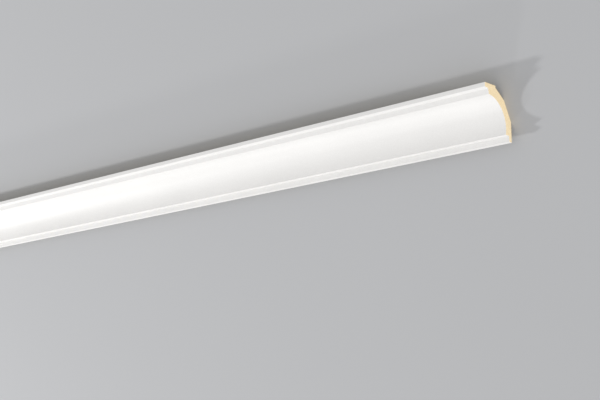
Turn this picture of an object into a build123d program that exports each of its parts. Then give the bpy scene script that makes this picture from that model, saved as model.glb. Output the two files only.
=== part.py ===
from build123d import *
import math
import os

# Overall sizes in millimetres. The section is drawn as it hangs: out from the wall, and up.
length = 2000.0
drop = 80.0                 # cover down the wall, from the lower edge to the ceiling
projection = 65.0           # cover over the ceiling, out from the wall

# Back of the section: a glue face for each surface, and two clear facets between them
wall_face_height = 31.5
ceiling_face_depth = 27.1
ceiling_pad_height = 3.2    # short upright step that ends the ceiling glue face
lower_facet_run = 17.4
lower_facet_rise = 31.3

# Upper fillet of the face: a flat band, a ledge under it and a riser down to the cove
top_band_height = 6.9
top_ledge_depth = 8.0
top_ledge_fall = 1.0
riser_height = 8.5
riser_setback = 1.8

# Cove: the hollow between the two fillets, by its depth behind the straight line across it
cove_depth = 15.5

# Lower fillet of the face: cove foot, ledge, flat band and the narrow underside
foot_thickness = 14.7
foot_height = 9.5
foot_ledge_depth = 8.2
foot_ledge_fall = 0.2
lower_band_setback = 0.3
underside_rise = 0.5        # how far the underside climbs from the wall to the band

# Softened edges, as a mould and its coat of primer leave them
arris_radius = 0.5
hollow_radius = 0.4


def back_points():
    """Points of the hidden side, from the lower edge up the wall and over to the ceiling."""
    wall_top = (0.0, wall_face_height)
    kink = (lower_facet_run, wall_face_height + lower_facet_rise)
    pad_out = projection - ceiling_face_depth
    pad_foot = (pad_out, drop - ceiling_pad_height)
    pad_top = (pad_out, drop)
    return [(0.0, 0.0), wall_top, kink, pad_foot, pad_top]


def top_fillet_points():
    """Points of the upper fillet, from the ceiling line down to the top of the cove."""
    band_top = (projection, drop)
    band_foot = (projection, drop - top_band_height)
    riser_top = (band_foot[0] - top_ledge_depth, band_foot[1] - top_ledge_fall)
    cove_top = (riser_top[0] - riser_setback, riser_top[1] - riser_height)
    return [band_top, band_foot, riser_top, cove_top]


def lower_fillet_points():
    """Points of the lower fillet, from the foot of the cove down to the underside."""
    cove_foot = (foot_thickness, foot_height)
    band_top = (cove_foot[0] - foot_ledge_depth, cove_foot[1] - foot_ledge_fall)
    band_foot = (band_top[0] - lower_band_setback, underside_rise)
    return [cove_foot, band_top, band_foot]


def near(sketch, points):
    """Corners of the sketch that lie at the given points."""
    return [v for v in sketch.vertices() if any((v.center() - Vector(*p)).length < 0.01 for p in points)]


def moulding_section():
    """Closed section of the moulding, with its moulded edges softened."""
    back = back_points()
    top = top_fillet_points()
    lower = lower_fillet_points()
    cove = SagittaArc(top[-1], lower[0], -cove_depth)
    outline = Polyline(*back, *top) + cove + Polyline(*lower, back[0])
    section = make_face(outline)
    hollows = [top[2], lower[1]]
    arrises = back + top[:2] + top[3:] + lower[:1] + lower[2:]
    section = fillet(near(section, arrises), arris_radius)
    return fillet(near(section, hollows), hollow_radius)


def lying_plane():
    """Plane of the section with the lower back facet turned down onto the floor."""
    lean = math.atan2(lower_facet_run, lower_facet_rise)
    out = (0.0, math.sin(lean), math.cos(lean))
    return Plane(origin=(0.0, 0.0, 0.0), x_dir=out, z_dir=(-1.0, 0.0, 0.0))


def cornice_moulding():
    """One length of moulding, lying on its back, centred over the origin."""
    bar = extrude(lying_plane() * moulding_section(), amount=length / 2, both=True)
    box = bar.bounding_box()
    return Pos(-box.center().X, -box.center().Y, -box.min.Z) * bar


os.makedirs("parts", exist_ok=True)
export_step(cornice_moulding(), "parts/cornice_moulding.step")
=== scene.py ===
import bpy
import math
import random
from mathutils import Matrix, Vector, kdtree, noise
from mathutils.geometry import delaunay_2d_cdt


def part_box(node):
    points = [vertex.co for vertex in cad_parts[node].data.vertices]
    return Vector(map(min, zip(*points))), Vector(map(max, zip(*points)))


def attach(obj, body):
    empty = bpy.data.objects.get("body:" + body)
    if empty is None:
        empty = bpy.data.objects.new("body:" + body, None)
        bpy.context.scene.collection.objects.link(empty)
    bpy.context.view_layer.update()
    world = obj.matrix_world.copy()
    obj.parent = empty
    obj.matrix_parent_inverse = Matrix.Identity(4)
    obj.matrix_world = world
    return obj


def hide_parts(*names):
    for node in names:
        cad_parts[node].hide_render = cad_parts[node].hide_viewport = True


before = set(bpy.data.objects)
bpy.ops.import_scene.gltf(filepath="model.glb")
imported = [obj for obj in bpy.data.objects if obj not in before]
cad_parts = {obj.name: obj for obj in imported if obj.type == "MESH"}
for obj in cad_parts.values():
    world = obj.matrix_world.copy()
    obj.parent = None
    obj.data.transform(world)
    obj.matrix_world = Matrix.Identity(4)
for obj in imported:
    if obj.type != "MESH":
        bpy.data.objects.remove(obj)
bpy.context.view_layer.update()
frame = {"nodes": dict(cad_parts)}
nodeName = "cornice_moulding"
mm = 0.001
print("frame loaded:", ", ".join(frame["nodes"]))

# The section as it is put up, in millimetres: outwards from its lower glue face, and up.
# The sizes are the solid's own. The last row says how finely the outline is divided.
section = {
    "drop": 80.0, "projection": 65.0,
    "wallFace": 31.5, "ceilingFace": 27.1, "ceilingPad": 3.2,
    "lowerFacet": (17.4, 31.3),
    "topBand": 6.9, "topLedge": (8.0, 1.0), "riser": (1.8, 8.5),
    "coveDepth": 15.5,
    "foot": (14.7, 9.5), "footLedge": (8.2, 0.2), "lowerBandSetback": 0.3, "undersideRise": 0.5,
    "arris": 0.5, "hollow": 0.4,
    "coveSteps": 48, "cornerSteps": 4, "widestStep": 3.6, "besideCorner": 0.15, "shortSpan": 0.75,
}
lean = math.atan2(*section["lowerFacet"])


def arcBetween(start, end, depth, steps):
    # points along the round arc from start to end that bows to the right by depth, ends left out
    chord = end - start
    side = Vector((chord.y, -chord.x)).normalized()
    radius = (chord.length ** 2 / 4 + depth ** 2) / (2 * depth)
    centre = (start + end) / 2 + side * (depth - radius)
    first = start - centre
    turn = first.angle_signed(end - centre)
    return [centre + Matrix.Rotation(-turn * k / steps, 2) @ first for k in range(1, steps)]


def softened(corners):
    # rounds each corner that has a radius; a corner is (point, radius, zone of the edge after it)
    ring = []
    for k, (point, radius, zone) in enumerate(corners):
        if radius == 0:
            ring.append((point, zone, False))
            continue
        before = (corners[k - 1][0] - point).normalized()
        after = (corners[(k + 1) % len(corners)][0] - point).normalized()
        half = before.angle(after) / 2
        start = point + before * radius / math.tan(half)
        end = point + after * radius / math.tan(half)
        centre = point + (before + after).normalized() * radius / math.sin(half)
        turn = (start - centre).angle_signed(end - centre)
        for step in range(section["cornerSteps"] + 1):
            swing = Matrix.Rotation(-turn * step / section["cornerSteps"], 2)
            ring.append((centre + swing @ (start - centre), zone, True))
    return ring


def divided(start, end):
    # shares along a flat, with a point close to each end so that shading stays flat between them
    span = (end - start).length
    if span < section["shortSpan"]:
        return [0]
    beside = section["besideCorner"] / span
    parts = math.ceil(span / section["widestStep"])
    return [0, beside] + [k / parts for k in range(1, parts)] + [1 - beside]


def sectionRing():
    # the whole outline as (point, zone, on a rounded corner), up the back and then down the face
    s = section
    padOut = s["projection"] - s["ceilingFace"]
    bandFoot = Vector((s["projection"], s["drop"] - s["topBand"]))
    riserTop = bandFoot - Vector(s["topLedge"])
    coveTop = riserTop - Vector(s["riser"])
    coveFoot = Vector(s["foot"])
    ledgeBack = coveFoot - Vector(s["footLedge"])
    bandEnd = Vector((ledgeBack.x - s["lowerBandSetback"], s["undersideRise"]))
    kink = Vector((s["lowerFacet"][0], s["wallFace"] + s["lowerFacet"][1]))
    padFoot = Vector((padOut, s["drop"] - s["ceilingPad"]))
    back = [Vector((0, 0)), Vector((0, s["wallFace"])), kink, padFoot, Vector((padOut, s["drop"]))]
    cove = arcBetween(coveTop, coveFoot, s["coveDepth"], s["coveSteps"])
    corners = [(point, s["arris"], "back") for point in back]
    corners += [(point, s["arris"], "face") for point in (Vector((s["projection"], s["drop"])), bandFoot)]
    corners += [(riserTop, s["hollow"], "face"), (coveTop, s["arris"], "face")]
    corners += [(point, 0, "face") for point in cove]
    corners += [(coveFoot, s["arris"], "face"), (ledgeBack, s["hollow"], "face")]
    corners += [(bandEnd, s["arris"], "face")]
    ring = []
    rounded = softened(corners)
    for k, (point, zone, bent) in enumerate(rounded):
        following = rounded[(k + 1) % len(rounded)][0]
        for share in divided(point, following):
            ring.append((point.lerp(following, share), zone, bent and share == 0))
    return ring


ring = sectionRing()
flat = [point for point, zone, bent in ring]
ringCount = len(ring)
outWay = Vector((0, math.sin(lean), math.cos(lean)))
upWay = Vector((0, math.cos(lean), -math.sin(lean)))
nodeLow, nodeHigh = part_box(nodeName)
lowest = [min((outWay * p.x + upWay * p.y)[axis] for p in flat) * mm for axis in (1, 2)]
lift = Vector((0, nodeLow.y - lowest[0], nodeLow.z - lowest[1]))
print("section:", ringCount, "points")


def placed(x, point):
    # a point of the section, in millimetres, on the lying moulding
    return Vector((x, 0, 0)) + (outWay * point.x + upWay * point.y) * mm + lift


def zeroToOne(wave):
    # a wave that swings between -1 and 1, made to swing between 0 and 1
    return 0.5 + 0.5 * wave


# Sink marks: depth and fade are in millimetres, length and width in metres
skin = {
    "stations": 240, "sharpBend": 40,
    "sinkDepth": 0.16, "sinkFade": 5.0, "sinkLong": 0.045, "sinkShort": 0.018, "sinkSeed": 3.1,
}


def girthOf():
    # how far round the outline each point lies, in millimetres, and the whole way round
    way = [0.0]
    for k in range(ringCount):
        way.append(way[-1] + (flat[(k + 1) % ringCount] - flat[k]).length)
    return way


girth = girthOf()
bends = [girth[k] for k in range(ringCount) if ring[k][2]]
faceStart = min(girth[k] for k in range(ringCount) if ring[k][1] == "face")


def sunken(k, x):
    # the raw back's flats have shallow sink marks; edges and the primed face are true
    point, zone, bent = ring[k]
    if zone == "face" or bent:
        return point
    fade = min(1, min(abs(girth[k] - bend) for bend in bends) / skin["sinkFade"])
    spot = Vector((x / skin["sinkLong"], girth[k] * mm / skin["sinkShort"], skin["sinkSeed"]))
    depth = zeroToOne(noise.noise(spot)) * skin["sinkDepth"] * fade
    way = (flat[(k + 1) % ringCount] - flat[k - 1]).normalized()
    return point + Vector((way.y, -way.x)) * depth


def pastFace(k):
    # how far a point of the back is from the primed face, round the outline
    if ring[k][1] == "face":
        return 0.0
    return min(girth[k], faceStart - girth[k])


# Bake map: eight lengths of skin, and the two ends side by side, in a square of three by three
bakeMap = {"strips": 8, "rows": 3, "gap": 0.006}


def square(index):
    side = 1 / bakeMap["rows"]
    return Vector((index % bakeMap["rows"] * side, index // bakeMap["rows"] * side)), side


def skinSpot(strip, share, k):
    # share runs along the strip, and k counts round the outline up to a full turn
    corner, side = square(strip)
    room = side - 2 * bakeMap["gap"]
    spot = Vector((share * room, girth[k] / girth[-1] * room))
    return corner + Vector((bakeMap["gap"], bakeMap["gap"])) + spot


def endSpot(end, point):
    corner, side = square(bakeMap["strips"])
    room = (side - 3 * bakeMap["gap"]) / 2
    scale = room / section["projection"]
    start = corner + Vector((bakeMap["gap"] + end * (room + bakeMap["gap"]), bakeMap["gap"]))
    return start + point * scale


# Sizes in millimetres. A bowl's rows are share of its radius, share of its depth, and points round it.
sawnEnd = {
    "grain": 0.42, "scatter": 0.6, "clear": 0.18, "fade": 0.9, "seed": 7,
    "rimParts": 20, "weld": 1e-6, "otherEnd": 40.0,
    "bladeCentre": Vector((-190.0, -60.0)), "toothGap": 1.9, "toothDepth": 0.07,
    "toothWander": 2.2, "wanderScale": 0.12,
    "roughDepth": 0.10, "roughSize": 0.8,
    "openCells": 150, "smallest": 0.16, "largest": 0.62, "spread": 2,
    "bowl": ((1.0, 0.0, 10), (0.62, 0.7, 7), (0.0, 1.0, 1)),
}


def openCells():
    # the larger cells that the saw has opened, as (place, radius)
    s = sawnEnd
    cells = []
    for _ in range(s["openCells"]):
        place = Vector((random.random() * section["projection"], random.random() * section["drop"], 0))
        radius = s["smallest"] + (s["largest"] - s["smallest"]) * random.random() ** 2
        if all((place - other).length > s["spread"] * (radius + size) for other, size in cells):
            cells.append((place, radius))
    return cells


def endGrain():
    # scattered points over the section, as (place, distance from the outline, from the face, pit's depth)
    s = sawnEnd
    parts = s["rimParts"]
    outline, faceLine = kdtree.KDTree(ringCount * parts), kdtree.KDTree(ringCount * parts)
    for k in range(ringCount):
        for part in range(parts):
            spot = flat[k].lerp(flat[(k + 1) % ringCount], part / parts)
            outline.insert((spot.x, spot.y, 0), k)
            if ring[k][1] == "face":
                faceLine.insert((spot.x, spot.y, 0), k)
    outline.balance()
    faceLine.balance()
    random.seed(s["seed"])
    cells = []
    for place, radius in openCells():
        if outline.find(place)[2] > radius + 2 * s["clear"]:
            cells.append((place, radius))
    found = []
    for place, radius in cells:
        for share, depth, count in s["bowl"]:
            for k in range(count):
                way = Vector((math.cos(math.tau * k / count), math.sin(math.tau * k / count), 0))
                found.append((place + way * radius * share, depth * radius))
    step, scatter = s["grain"], s["scatter"]
    edge = (1 - scatter) / 2
    for i in range(int(section["projection"] / step)):
        for j in range(int(section["drop"] / step)):
            across, up = i + edge + scatter * random.random(), j + edge + scatter * random.random()
            spot = Vector((across, up, 0)) * step
            if all((spot - place).length > radius + s["clear"] for place, radius in cells):
                found.append((spot, 0.0))
    grain = []
    for spot, pit in found:
        rim = outline.find(spot)[2]
        if rim > s["clear"]:
            grain.append((spot.to_2d(), rim, faceLine.find(spot)[2], pit))
    return grain


def sawnDepth(spot, rim, end):
    # how far the sawn surface lies behind the true end, by blade marks and rough foam
    s = sawnEnd
    around = Vector((spot.x, spot.y, end * s["otherEnd"]))
    reach = (spot - s["bladeCentre"]).length / s["toothGap"] * math.tau
    mark = zeroToOne(math.sin(reach + s["toothWander"] * noise.noise(around * s["wanderScale"])))
    rough = zeroToOne(noise.noise(around / s["roughSize"]))
    return (mark * s["toothDepth"] + rough * s["roughDepth"]) * min(1, rim / s["fade"])


# The order of the moulding's materials
finishSlots = {"face": 0, "back": 1, "sawn": 2}


def buildMoulding():
    # one closed mesh: the skin swept along the length, and a relief of fine triangles on each sawn end
    length = nodeHigh.x - nodeLow.x
    stations = skin["stations"]
    verts, faces, slots, spots, rims, sprays, pits = [], [], [], [], [], [], []
    for station in range(stations + 1):
        x = nodeLow.x + length * station / stations
        atEnd = station in (0, stations)
        for k in range(ringCount):
            verts.append(placed(x, flat[k] if atEnd else sunken(k, x)))
            rims.append(0.0)
            sprays.append(pastFace(k))
            pits.append(0.0)
    perStrip = stations // bakeMap["strips"]
    for station in range(stations):
        strip, start = divmod(station, perStrip)
        near, far = start / perStrip, (start + 1) / perStrip
        for k in range(ringCount):
            here, beside = station * ringCount + k, station * ringCount + (k + 1) % ringCount
            faces.append((here, beside, beside + ringCount, here + ringCount))
            slots.append(finishSlots[ring[k][1]])
            spots += [skinSpot(strip, near, k), skinSpot(strip, near, k + 1)]
            spots += [skinSpot(strip, far, k + 1), skinSpot(strip, far, k)]
    grain = endGrain()
    edges = [(k, (k + 1) % ringCount) for k in range(ringCount)]
    inside = 1  # keeps only the triangles within the outline
    filled = delaunay_2d_cdt(flat + [g[0] for g in grain], edges, [], inside, sawnEnd["weld"])
    points, _, triangles, origins, _, _ = filled
    used = sorted({corner for triangle in triangles for corner in triangle})
    for end, x, inward in ((0, nodeLow.x, mm), (1, nodeHigh.x, -mm)):
        places = {}
        for corner in used:
            origin = min(origins[corner])
            if origin < ringCount:
                places[corner] = end * stations * ringCount + origin
                continue
            spot, rim, spray, pit = grain[origin - ringCount]
            places[corner] = len(verts)
            verts.append(placed(x + inward * (sawnDepth(spot, rim, end) + pit), spot))
            rims.append(rim)
            sprays.append(spray)
            pits.append(min(1, pit / sawnEnd["smallest"]))
        for triangle in triangles:
            corners = triangle[::-1] if end else triangle
            faces.append([places[corner] for corner in corners])
            slots.append(finishSlots["sawn"])
            spots += [endSpot(end, points[corner]) for corner in corners]
    mesh = bpy.data.meshes.new("moulding")
    mesh.from_pydata(verts, [], faces)
    mesh.polygons.foreach_set("material_index", slots)
    mesh.polygons.foreach_set("use_smooth", [True] * len(slots))
    # pit holds each pit's share of depth, which paints shade into the pits of the sawn end
    for name, values in (("rimDistance", rims), ("sprayDistance", sprays), ("pit", pits)):
        mesh.attributes.new(name, "FLOAT", "POINT").data.foreach_set("value", values)
    uvMap = mesh.uv_layers.new(name="OFBake")
    uvMap.data.foreach_set("uv", [number for spot in spots for number in spot])
    mesh.set_sharp_from_angle(angle=math.radians(skin["sharpBend"]))
    mesh.update()
    return mesh


mouldingMesh = buildMoulding()
moulding = bpy.data.objects.new("moulding", mouldingMesh)
bpy.context.scene.collection.objects.link(moulding)
print("moulding:", len(mouldingMesh.vertices), "points,", len(mouldingMesh.polygons), "faces")


class Wire:
    # a node's output; sums, differences and products of wires add Math nodes
    def __init__(self, shader, socket):
        self.shader = shader
        self.socket = socket

    def maths(self, operation, first, second):
        return self.shader.node("Math", {"operation": operation}, {0: first, 1: second})

    def __add__(self, other):
        return self.maths("ADD", self, other)

    def __radd__(self, other):
        return self.maths("ADD", other, self)

    def __sub__(self, other):
        return self.maths("SUBTRACT", self, other)

    def __rsub__(self, other):
        return self.maths("SUBTRACT", other, self)

    def __mul__(self, other):
        return self.maths("MULTIPLY", self, other)

    def __rmul__(self, other):
        return self.maths("MULTIPLY", other, self)


class Shader:
    # the nodes of one material or world
    def __init__(self, owner):
        owner.use_nodes = True
        self.tree = owner.node_tree
        self.tree.nodes.clear()

    def node(self, kind, settings, inputs, output=0):
        made = self.tree.nodes.new("ShaderNode" + kind)
        for key, value in settings.items():
            setattr(made, key, value)
        for key, value in inputs.items():
            if isinstance(value, Wire):
                self.tree.links.new(value.socket, made.inputs[key])
            else:
                made.inputs[key].default_value = value
        return Wire(self, made.outputs[output]) if made.outputs else None

    def place(self, stretch=(1, 1, 1), turn=0.0):
        # the object's own coordinates in metres, turned about the length and then scaled
        here = self.node("TexCoord", {}, {}, "Object")
        sizes = {"Vector": here, "Rotation": (turn, 0, 0), "Scale": stretch}
        return self.node("Mapping", {"vector_type": "POINT"}, sizes)

    def cloud(self, place, scale, detail=2.0):
        return self.node("TexNoise", {}, {"Vector": place, "Scale": scale, "Detail": detail})

    def cells(self, place, scale):
        return self.node("TexVoronoi", {}, {"Vector": place, "Scale": scale}, "Distance")

    def between(self, value, low, high):
        # 0 below low and 1 above high, smooth between; high may be the lower one
        limits = {"Value": value, "From Min": low, "From Max": high}
        return self.node("MapRange", {"interpolation_type": "SMOOTHSTEP"}, limits)

    def mix(self, share, first, second):
        # the Mix node's colours are its sockets 6 and 7, and its output 2
        return self.node("Mix", {"data_type": "RGBA"}, {0: share, 6: first, 7: second}, 2)

    def measure(self, name):
        return self.node("Attribute", {"attribute_name": name}, {}, "Fac")

    def bump(self, height, depth):
        return self.node("Bump", {}, {"Strength": 1.0, "Distance": depth * mm, "Height": height})

    def surface(self, inputs):
        self.node("OutputMaterial", {}, {"Surface": self.node("BsdfPrincipled", {}, inputs)})


# In the three finishes a pattern's number is its repeats to the metre, and depths are in millimetres.
# A Range says where a pattern starts to show and where it shows fully.
primer = {
    "light": (0.898, 0.887, 0.871, 1), "dark": (0.854, 0.844, 0.829, 1), "nib": (0.80, 0.79, 0.775, 1),
    "broad": 9.0, "fine": 420.0, "peel": 1150.0,
    "broadShare": 0.3, "fineShare": 0.3, "peelShare": 0.4, "toneRange": (0.36, 0.64),
    "drawn": 700.0, "drawnWay": (0.015, 1, 1), "drawnHeight": 0.5,
    "nibs": 75.0, "nibRange": (0.022, 0.012), "nibShow": 0.6,
    "roughness": 0.46, "fineRoughness": 0.1, "peelRoughness": 0.08,
    "peelDepth": 0.03, "nibDepth": 0.05,
}


def primedFace():
    # satin primer with a fine orange peel, drawn along the length, and a few nibs of dust
    material = bpy.data.materials.new("primed face")
    p = primer
    s = Shader(material)
    here = s.place()
    broad = s.cloud(here, p["broad"], detail=3.0)
    fine = s.cloud(here, p["fine"])
    peel = s.cloud(here, p["peel"], detail=1.0)
    drawn = s.cloud(s.place(p["drawnWay"]), p["drawn"])
    nib = s.between(s.cells(here, p["nibs"]), *p["nibRange"])
    clouds = p["broadShare"] * broad + p["fineShare"] * fine + p["peelShare"] * peel
    colour = s.mix(s.between(clouds, *p["toneRange"]), p["dark"], p["light"])
    height = peel + p["drawnHeight"] * drawn + p["nibDepth"] / p["peelDepth"] * nib
    s.surface({
        "Base Color": s.mix(p["nibShow"] * nib, colour, p["nib"]),
        "Roughness": p["roughness"] + p["fineRoughness"] * fine + p["peelRoughness"] * peel,
        "Normal": s.bump(height, p["peelDepth"]),
    })
    return material


# The hole colour is painted shade in the skin's pits and pinholes
rawFoam = {
    "pale": (0.86, 0.77, 0.59, 1), "deep": (0.79, 0.69, 0.50, 1), "holeShade": (0.46, 0.35, 0.20, 1),
    "flow": 38.0, "flowWay": (0.3, 1, 1), "mottle": 260.0,
    "flowShare": 0.6, "mottleShare": 0.4, "toneRange": (0.32, 0.66),
    "pits": 330.0, "pitRange": (0.2, 0.1), "pitPatches": 60.0, "patchRange": (0.5, 0.62),
    "holes": 62.0, "holeRange": (0.07, 0.045), "holeHeight": 2.5,
    "sprayReach": 8.0, "sprayFull": 0.5, "sprayWander": 2.0, "sprayPatches": 70.0, "sprayHeight": 0.3,
    "speckle": 1500.0, "speckleRange": (0.85, 1.15), "speckleLift": 1.1, "bareHoles": 0.6,
    "roughness": 0.42, "mottleRoughness": 0.16, "sprayRoughness": 0.18,
    "skinDepth": 0.05, "flowHeight": 0.6,
}


def rawBack():
    # the foam's own moulded skin, with primer overspray along both edges of the face, and painted shade in
    # its pits and pinholes
    material = bpy.data.materials.new("raw foam back")
    r = rawFoam
    s = Shader(material)
    here = s.place()
    flow = s.cloud(s.place(r["flowWay"]), r["flow"], detail=4.0)
    mottle = s.cloud(here, r["mottle"], detail=3.0)
    patches = s.between(s.cloud(here, r["pitPatches"]), *r["patchRange"])
    pits = s.between(s.cells(here, r["pits"]), *r["pitRange"]) * patches
    holes = s.between(s.cells(here, r["holes"]), *r["holeRange"])
    opened = s.between(pits + holes, 0.0, 1.0)
    tone = s.between(r["flowShare"] * flow + r["mottleShare"] * mottle, *r["toneRange"])
    foam = s.mix(tone, r["deep"], r["pale"])
    away = s.measure("sprayDistance") + r["sprayWander"] * s.cloud(here, r["sprayPatches"])
    reached = s.between(away, r["sprayReach"], r["sprayFull"])
    speckle = s.cloud(here, r["speckle"], detail=3.0) + r["speckleLift"] * reached
    spray = s.between(speckle, *r["speckleRange"]) * (1 - r["bareHoles"] * opened)
    height = mottle + r["flowHeight"] * flow - r["holeHeight"] * opened + r["sprayHeight"] * spray
    s.surface({
        # painted shade: the pits and pinholes take the dark hole colour
        "Base Color": s.mix(spray, s.mix(opened, foam, r["holeShade"]), primer["light"]),
        "Roughness": r["roughness"] + r["mottleRoughness"] * mottle + r["sprayRoughness"] * spray,
        "Normal": s.bump(height, r["skinDepth"]),
    })
    return material


# The pit colour is painted shade, laid into the opened pits of the sawn end the deeper they go
sawnFoam = {
    "pale": (0.845, 0.720, 0.495, 1), "deep": (0.775, 0.640, 0.415, 1), "wall": (0.665, 0.515, 0.300, 1),
    "pit": (0.47, 0.335, 0.165, 1), "pitShadeShow": 0.8, "skin": (0.71, 0.555, 0.315, 1),
    "cells": 2700.0, "cellRange": (0.25, 0.62), "cellShow": 0.55,
    "coarse": 1150.0, "coarseRange": (0.5, 0.8), "coarseShow": 0.35,
    "streak": 2300.0, "streakWay": (1, 1, 0.05), "sawTurn": 0.42, "cloud": 120.0,
    "cloudShare": 0.35, "streakShare": 0.65, "toneRange": (0.34, 0.66),
    "skinWidth": 0.55, "skinFade": 0.2, "skinFull": 0.1, "skinWander": 0.3, "skinPatches": 900.0,
    "primerWidth": 0.17, "primerFull": 0.5,
    "roughness": 0.78, "cellRoughness": 0.12, "cellDepth": 0.11,
    "coarseHeight": 0.7, "cellHeight": 0.6, "streakHeight": 0.35, "skinSmooth": 0.8,
}


def sawnFace():
    # fine cut cells with the saw's streaks, closer and darker at the skin, painted shade in the opened pits,
    # and the primer's edge in front
    material = bpy.data.materials.new("sawn foam")
    f = sawnFoam
    s = Shader(material)
    here = s.place()
    cells = s.cells(here, f["cells"])
    coarse = s.cells(here, f["coarse"])
    streak = s.cloud(s.place(f["streakWay"], f["sawTurn"]), f["streak"])
    cloud = s.cloud(here, f["cloud"], detail=3.0)
    rim = s.measure("rimDistance")
    tone = s.between(f["cloudShare"] * cloud + f["streakShare"] * streak, *f["toneRange"])
    foam = s.mix(tone, f["deep"], f["pale"])
    # the foam turns towards the darker wall colour near each cell's edge
    fineCellEdge = s.between(cells, *f["cellRange"]) * f["cellShow"]
    coarseCellEdge = s.between(coarse, *f["coarseRange"]) * f["coarseShow"]
    edgedFoam = s.mix(fineCellEdge + coarseCellEdge, foam, f["wall"])
    # painted shade: darker in the opened pits, by their depth
    cutWithPitShade = s.mix(s.measure("pit") * f["pitShadeShow"], edgedFoam, f["pit"])
    ragged = rim + f["skinWander"] * s.cloud(here, f["skinPatches"])
    dense = s.between(ragged, f["skinWidth"] + f["skinFade"], f["skinFull"])
    front = s.between(s.measure("sprayDistance"), f["primerWidth"], f["primerFull"] * f["primerWidth"])
    colour = s.mix(front, s.mix(dense, cutWithPitShade, f["skin"]), primer["light"])
    relief = f["coarseHeight"] * coarse + f["cellHeight"] * (1 - cells) + f["streakHeight"] * streak
    s.surface({
        "Base Color": colour,
        "Roughness": f["roughness"] + f["cellRoughness"] * cells,
        "Normal": s.bump(relief * (1 - f["skinSmooth"] * dense), f["cellDepth"]),
    })
    return material


for material in (primedFace(), rawBack(), sawnFace()):  # in the order of finishSlots
    moulding.data.materials.append(material)
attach(moulding, "root")
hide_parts(nodeName)
print("materials ready")


stage = {
    "size": 30.0, "floorDark": (0.468, 0.473, 0.485, 1), "floorLight": (0.474, 0.479, 0.491, 1),
    "floorClouds": 2.0, "floorRoughness": 0.9,
    "backdrop": (0.48, 0.485, 0.5, 1), "seenBy": ("Camera", "Glossy", "Transmission"),
    "ambient": 0.70, "ambientColour": (1, 1, 1, 1),
}


def buildStage():
    # the floor, and the world that lights evenly and shows as the backdrop
    half = stage["size"] / 2
    corners = [(-half, -half, 0), (half, -half, 0), (half, half, 0), (-half, half, 0)]
    mesh = bpy.data.meshes.new("floor")
    mesh.from_pydata(corners, [], [(0, 1, 2, 3)])
    floor = bpy.data.objects.new("floor", mesh)
    bpy.context.scene.collection.objects.link(floor)
    paint = bpy.data.materials.new("floor paint")
    s = Shader(paint)
    colour = s.mix(s.cloud(s.place(), stage["floorClouds"]), stage["floorDark"], stage["floorLight"])
    s.surface({"Base Color": colour, "Roughness": stage["floorRoughness"]})
    mesh.materials.append(paint)
    world = bpy.data.worlds.new("studio")
    bpy.context.scene.world = world
    s = Shader(world)
    light = s.node("Background", {}, {"Color": stage["ambientColour"], "Strength": stage["ambient"]})
    seen = s.node("Background", {}, {"Color": stage["backdrop"]})
    camera, glossy, clear = (s.node("LightPath", {}, {}, f"Is {kind} Ray") for kind in stage["seenBy"])
    either = s.node("MixShader", {}, {0: camera + glossy + clear, 1: light, 2: seen})
    s.node("OutputWorld", {}, {"Surface": either})


# Ways point from the moulding to the lamp, and cones are in degrees. A level is how bright the lamp alone
# would make a white face turned to it.
lamps = {
    "key": {"way": (-1.6, -0.3, 0.8), "distance": 6.0, "width": 0.5, "cone": 60, "level": 0.482},
    "low": {"way": (-0.6, -0.98, 0.3), "distance": 6.0, "width": 0.5, "cone": 56, "level": 0.171},
    "end": {"way": (1.0, -0.08, 0.12), "distance": 10.0, "width": 2.0, "cone": 40, "level": 0.562},
}
lampAim = {"target": Vector((0.3, 0, 0)), "softRim": 0.85}


def softLamp(name, way, distance, width, cone, level):
    lamp = bpy.data.lights.new(name, "SPOT")
    lamp.shadow_soft_size = width / 2
    lamp.spot_size = math.radians(cone)
    lamp.spot_blend = lampAim["softRim"]
    lamp.energy = level * (2 * math.pi * distance) ** 2  # the level holds at any distance
    holder = bpy.data.objects.new(name, lamp)
    bpy.context.scene.collection.objects.link(holder)
    away = Vector(way).normalized()
    holder.location = lampAim["target"] + away * distance
    holder.rotation_euler = away.to_track_quat("Z", "Y").to_euler()
    holder.visible_camera = False


buildStage()
for name, values in lamps.items():
    softLamp(name, **values)
print("stage and lamps ready")

# Where the photograph was taken from: metres from the right end of the lower edge, as the moulding is put
# up, and angles in degrees
photoView = {
    "lens": 76.2, "beyondEnd": 1.0239, "outwards": 1.5478, "belowEdge": 0.4748, "yaw": 43.25, "pitch": 11.98,
}


def placeCamera():
    p = photoView
    # from the moulding as it is put up to the moulding as it lies
    laid = Matrix((
        (1, 0, 0, nodeHigh.x),
        (0, -outWay.y, upWay.y, lift.y),
        (0, -outWay.z, upWay.z, lift.z),
        (0, 0, 0, 1),
    ))
    spot = Matrix.Translation((p["beyondEnd"], -p["outwards"], -p["belowEdge"]))
    swing = Matrix.Rotation(math.radians(p["yaw"]), 4, "Z")
    turn = swing @ Matrix.Rotation(math.radians(90 + p["pitch"]), 4, "X")
    data = bpy.data.cameras.new("photo camera")
    data.lens = p["lens"]
    camera = bpy.data.objects.new("photo camera", data)
    bpy.context.scene.collection.objects.link(camera)
    camera.matrix_world = laid @ spot @ turn
    bpy.context.scene.camera = camera


placeCamera()
bpy.context.scene.view_settings.view_transform = "Standard"
print("camera ready")
